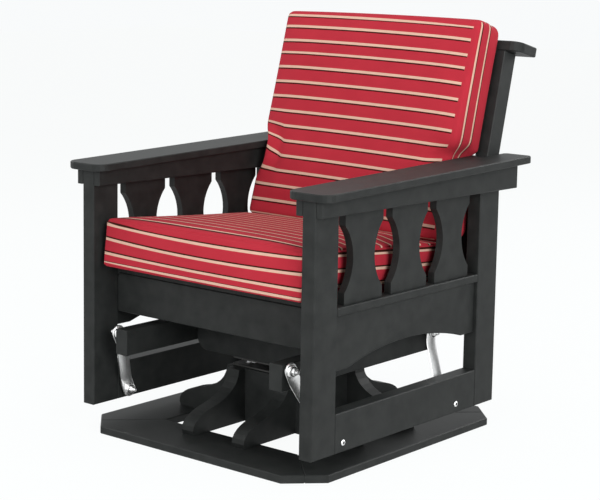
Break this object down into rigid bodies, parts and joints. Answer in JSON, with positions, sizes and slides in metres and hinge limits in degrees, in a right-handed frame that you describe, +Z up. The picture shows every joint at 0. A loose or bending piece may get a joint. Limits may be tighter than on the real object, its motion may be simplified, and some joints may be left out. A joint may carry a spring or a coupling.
{
  "type": "swivel glider armchair",
  "caption": "Slatted outdoor armchair with loose cushions that glides on steel hangers and turns on a low swivel base.",
  "frame": {"origin": "middle of the bounding box on the floor, under the seat; the swivel axis is 47 mm in front of it", "axes": "+Z up, -Y towards the front of the chair, +X to the right as seen from the front"},
  "size_m": [0.822, 0.8891, 1.0197],
  "materials": {
    "plastic_lumber": "fine satin grain, black",
    "striped_fabric": "red weave with narrow cream stripes",
    "zinc_steel": "bright zinc",
    "dark_steel": "dull plated steel"
  },
  "bodies": {
    "base": {"base_board_front": "plastic_lumber", "base_board_left": "plastic_lumber", "base_board_rear": "plastic_lumber", "base_board_right": "plastic_lumber", "pedestal_board_front": "plastic_lumber", "pedestal_board_left": "plastic_lumber", "pedestal_board_rear": "plastic_lumber", "pedestal_board_right": "plastic_lumber", "swivel_ball_race": "dark_steel", "swivel_lower_plate": "dark_steel"},
    "turntable": {"cross_beam_front": "plastic_lumber", "cross_beam_rear": "plastic_lumber", "glide_rail_left": "plastic_lumber", "glide_rail_right": "plastic_lumber", "swivel_king_bolt": "zinc_steel", "swivel_upper_plate": "dark_steel", "top_pivot_bolt_front_left": "zinc_steel", "top_pivot_bolt_front_right": "zinc_steel", "top_pivot_bolt_rear_left": "zinc_steel", "top_pivot_bolt_rear_right": "zinc_steel"},
    "hanger_front_left": {"hanger_front_left": "zinc_steel"},
    "hanger_front_right": {"hanger_front_right": "zinc_steel"},
    "hanger_rear_left": {"hanger_rear_left": "zinc_steel"},
    "hanger_rear_right": {"hanger_rear_right": "zinc_steel"},
    "seat": {"arm_left": "plastic_lumber", "arm_right": "plastic_lumber", "arm_slat_left_1": "plastic_lumber", "arm_slat_left_2": "plastic_lumber", "arm_slat_left_3": "plastic_lumber", "arm_slat_right_1": "plastic_lumber", "arm_slat_right_2": "plastic_lumber", "arm_slat_right_3": "plastic_lumber", "back_cap": "plastic_lumber", "back_cushion": "striped_fabric", "back_slats": "plastic_lumber", "back_stile_left": "plastic_lumber", "back_stile_right": "plastic_lumber", "front_skirt": "plastic_lumber", "inner_apron_left": "plastic_lumber", "inner_apron_right": "plastic_lumber", "ledger_left": "plastic_lumber", "ledger_right": "plastic_lumber", "low_pivot_bolt_front_left": "zinc_steel", "low_pivot_bolt_front_right": "zinc_steel", "low_pivot_bolt_rear_left": "zinc_steel", "low_pivot_bolt_rear_right": "zinc_steel", "lower_rail_left": "plastic_lumber", "lower_rail_right": "plastic_lumber", "outer_apron_left": "plastic_lumber", "outer_apron_right": "plastic_lumber", "post_front_left": "plastic_lumber", "post_front_right": "plastic_lumber", "post_rear_left": "plastic_lumber", "post_rear_right": "plastic_lumber", "rear_skirt": "plastic_lumber", "seat_cushion": "striped_fabric", "seat_deck": "plastic_lumber", "side_skirt_left": "plastic_lumber", "side_skirt_right": "plastic_lumber"}
  },
  "joints": [
    {"name": "swivel", "type": "hinge", "parent": "base", "child": "turntable", "pos_m": [0, -0.04658, 0.1586], "axis": [0, 0, 1], "continuous": true},
    {"name": "glide", "type": "hinge", "parent": "turntable", "child": "hanger_front_left", "pos_m": [-0.276, -0.39518, 0.248], "axis": [1, 0, 0], "range_deg": [-16, 8]},
    {"name": "front_right_pivot", "type": "hinge", "parent": "turntable", "child": "hanger_front_right", "pos_m": [0.276, -0.39518, 0.248], "axis": [1, 0, 0], "range_deg": [-16, 8]},
    {"name": "rear_left_pivot", "type": "hinge", "parent": "turntable", "child": "hanger_rear_left", "pos_m": [-0.276, 0.14782, 0.248], "axis": [1, 0, 0], "range_deg": [-17, 8.5]},
    {"name": "rear_right_pivot", "type": "hinge", "parent": "turntable", "child": "hanger_rear_right", "pos_m": [0.276, 0.14782, 0.248], "axis": [1, 0, 0], "range_deg": [-17, 8.5]},
    {"name": "seat_pivot", "type": "hinge", "parent": "hanger_front_left", "child": "seat", "pos_m": [-0.3179, -0.31758, 0.084], "axis": [1, 0, 0], "range_deg": [-9.8, 19.6]}
  ],
  "couplings": [
    {"joint": "front_right_pivot", "follows": "glide", "ratio": 1},
    {"joint": "rear_left_pivot", "follows": "glide", "ratio": 1.052},
    {"joint": "rear_right_pivot", "follows": "glide", "ratio": 1.052},
    {"joint": "seat_pivot", "follows": "glide", "ratio": -1.216}
  ]
}
